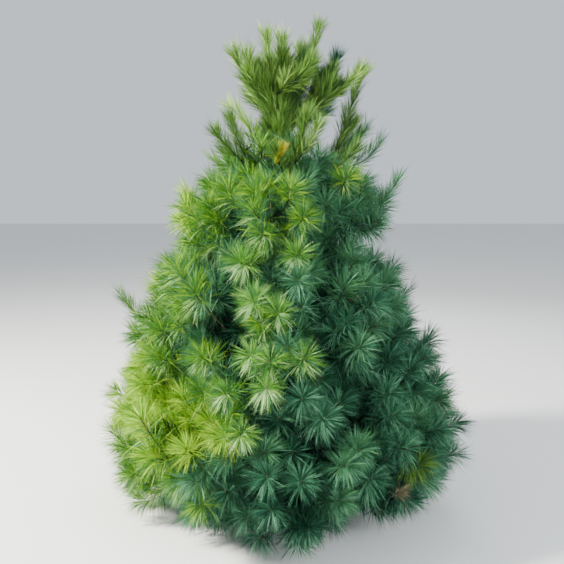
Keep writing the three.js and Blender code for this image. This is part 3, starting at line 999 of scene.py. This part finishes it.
def nodesOf(group, kind):
    return [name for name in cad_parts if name.startswith(group) and name.endswith(kind)]


straightLimb = modelStraightLimb()
settle(layLimb(straightLimb, "trunkBark", trunkWay), barkFinish("trunkBark"), ["trunk"])
boughBark = barkFinish("boughBark")
for whorl in whorls:
    laid = [layLimb(straightLimb, "bough", boughWay(limb)) for limb in limbs if limb["name"] == whorl["name"]]
    boughs = joined(laid, f"{whorl['name']}Boughs")
    settle(boughs, boughBark, nodesOf(whorl["name"], "_bough"))
bpy.data.objects.remove(straightLimb)
print("trunk and boughs laid")

# Twigs and buds
twigPlan = {
    "root": 0.0040,
    "tip": 0.0019,
    "thicker": 1.5,  # the long shoots of the neck and of the vase
    "sides": 4,
    "rings": 6,
    "colour": (0.016, 0.015, 0.008),
    "roughness": 0.8,
    "gloss": 0.15,
}
budPlan = {
    "length": 0.014,
    "places": (0, 0.3, 0.6, 1),
    "radii": (0.0012, 0.0028, 0.0024, 0.0004),
    "sides": 5,
    "colour": (0.20, 0.13, 0.05),
    "roughness": 0.55,
}


def growTwigs():
    lines = [shoot["line"] for shoot in shoots] + vaseSides + youngLines
    lines += [besideLine(foot, tip) for foot, tip, first, tint in besideVase]
    lines += neckLines + vaseLines
    shares = np.tile(np.linspace(0, 1, twigPlan["rings"]), (len(lines), 1))
    radii = mix(twigPlan["root"], twigPlan["tip"], shares)
    radii[-len(neckLines + vaseLines):] *= twigPlan["thicker"]
    piece = meshObject("twigs", *tubes(lines, shares, radii, twigPlan["sides"]))
    finish = plainFinish("twigBark", twigPlan["colour"], twigPlan["roughness"], twigPlan["gloss"])
    settle(piece, finish, [])


def growBuds():
    lines = [shoot["line"] for shoot in shoots if shoot["layer"] == 0]
    lines += vaseSides + youngLines + neckLines + vaseLines
    buds = []
    for line in lines:
        end = line[2] + headingAt(line, 1.0) * budPlan["length"]
        buds.append(np.array([line[2], (line[2] + end) / 2, end]))
    shares = np.tile(budPlan["places"], (len(buds), 1))
    radii = np.tile(budPlan["radii"], (len(buds), 1))
    piece = meshObject("buds", *tubes(buds, shares, radii, budPlan["sides"]))
    settle(piece, plainFinish("budScales", budPlan["colour"], budPlan["roughness"]), [])


growTwigs()
growBuds()
print("twigs and buds grown")

# The needles of each group and shade, joined in one piece.
needleLook = {"roughness": 0.48, "gloss": 0.12}


def layNeedles():
    finishes = {
        tint: plainFinish(f"{tint}Needles", tone, needleLook["roughness"], needleLook["gloss"])
        for tint, tone in tintPlan.items()
    }
    total = 0
    for (group, tint), blocks in sorted(needles.items()):
        points = np.concatenate(blocks)
        faces = np.array([[0, 1, 2], [1, 3, 2]])
        faces = (faces[None] + (np.arange(len(points)) * 4)[:, None, None]).reshape(-1, 3)
        piece = meshObject(f"{group}Needles-{tint}", points.reshape(-1, 3), faces)
        slot = "young_needles" if group in ("neck", "vase") else "needles"
        nodes = nodesOf(group, "_foliage") + (["leader_foliage"] if group == "vase" else [])
        settle(piece, finishes[tint], nodes)
        total += len(faces)
    print("needles laid:", total, "triangles in", len(needles), "pieces")


layNeedles()

# Camera, lights and floor
cameraPlan = {
    "place": (-0.015, -3.6, 1.55),
    "pitch": -7.28,
    "focal": 720,
    "frame": 564,
    "sensor": 36,
}
lamps = [  # name, place, the height that it points to, size, power and tone
    ("key", (-5.0, -1.2, 4.4), 1.0, 1.2, 1930, (1.0, 0.97, 0.89)),
    ("fill", (4.0, -3.7, 2.4), 0.8, 3.0, 380, (0.92, 0.97, 1.0)),
    ("back", (1.5, 4.5, 4.5), 1.0, 3.0, 160, (0.95, 0.98, 1.0)),
]
skyPlan = {"tone": (0.80, 0.87, 0.95), "strength": 0.95}
floorPlan = {"size": 60, "below": 0.001, "tone": (0.72, 0.72, 0.70), "roughness": 0.9}


def placeCamera():
    data = bpy.data.cameras.new("camera")
    data.sensor_width = cameraPlan["sensor"]
    data.lens = cameraPlan["focal"] / cameraPlan["frame"] * cameraPlan["sensor"]
    camera = bpy.data.objects.new("camera", data)
    camera.location = cameraPlan["place"]
    camera.rotation_euler = (math.radians(90 + cameraPlan["pitch"]), 0, 0)
    bpy.context.scene.collection.objects.link(camera)
    bpy.context.scene.camera = camera


def areaLight(name, place, height, size, power, tone):
    data = bpy.data.lights.new(name, "AREA")
    data.shape = "DISK"
    data.size = size
    data.energy = power
    data.color = tone
    light = bpy.data.objects.new(name, data)
    light.location = place
    towards = Vector((0, 0, height)) - Vector(place)
    light.rotation_euler = towards.to_track_quat("-Z", "Y").to_euler()
    bpy.context.scene.collection.objects.link(light)


def lightStudio():
    for lamp in lamps:
        areaLight(*lamp)
    world = bpy.data.worlds.new("studio")
    world.use_nodes = True
    background = world.node_tree.nodes["Background"]
    background.inputs["Color"].default_value = (*skyPlan["tone"], 1)
    background.inputs["Strength"].default_value = skyPlan["strength"]
    bpy.context.scene.world = world


def layFloor():
    selectNothing()
    bpy.ops.mesh.primitive_plane_add(size=floorPlan["size"], location=(0, 0, -floorPlan["below"]))
    floor = bpy.context.object
    floor.name = "floor"
    floor.data.materials.append(plainFinish("floorPaint", floorPlan["tone"], floorPlan["roughness"]))


placeCamera()
lightStudio()
layFloor()
print("camera, lights and floor placed")
